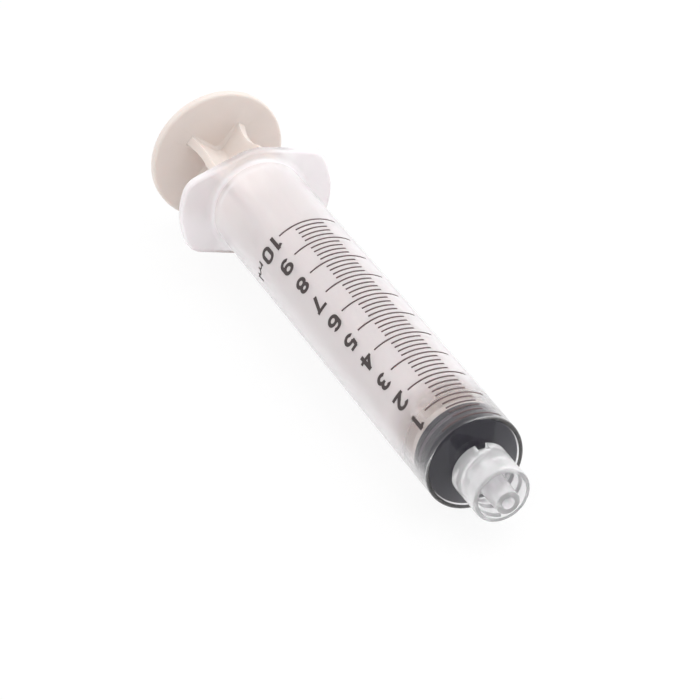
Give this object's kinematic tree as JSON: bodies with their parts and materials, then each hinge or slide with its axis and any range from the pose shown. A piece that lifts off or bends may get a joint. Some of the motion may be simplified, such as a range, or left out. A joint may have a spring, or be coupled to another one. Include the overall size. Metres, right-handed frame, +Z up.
{
  "type": "luer lock syringe",
  "caption": "Disposable syringe: graduated translucent barrel with finger flange and luer lock collar, rubber stopper and ribbed plunger rod that slide out together.",
  "frame": {"origin": "centre of the luer cone's mouth, on the barrel's axis, with the syringe lying on its side and the scale uppermost", "axes": "+X out of the luer tip along the barrel's axis, +Z up through the middle of the scale lines, Y along the finger wings"},
  "size_m": [0.1118, 0.027, 0.0234],
  "materials": {
    "barrel": "translucent moulded polypropylene, smooth",
    "stopper": "smooth moulded rubber",
    "rod": "moulded polypropylene, satin",
    "ink": "printed ink"
  },
  "bodies": {
    "barrel": {"barrel": "barrel", "scale_lines": "ink", "scale_figures": "ink"},
    "stopper": {"stopper": "stopper"},
    "plunger_rod": {"plunger_rod": "rod"}
  },
  "joints": [
    {"name": "plunger_slide", "type": "slide", "parent": "barrel", "child": "stopper", "axis": [-1, 0, 0], "range_m": [0, 0.074]},
    {"name": "rod_turn", "type": "hinge", "parent": "stopper", "child": "plunger_rod", "pos_m": [-0.015, 0, 0], "axis": [1, 0, 0], "continuous": true}
  ]
}
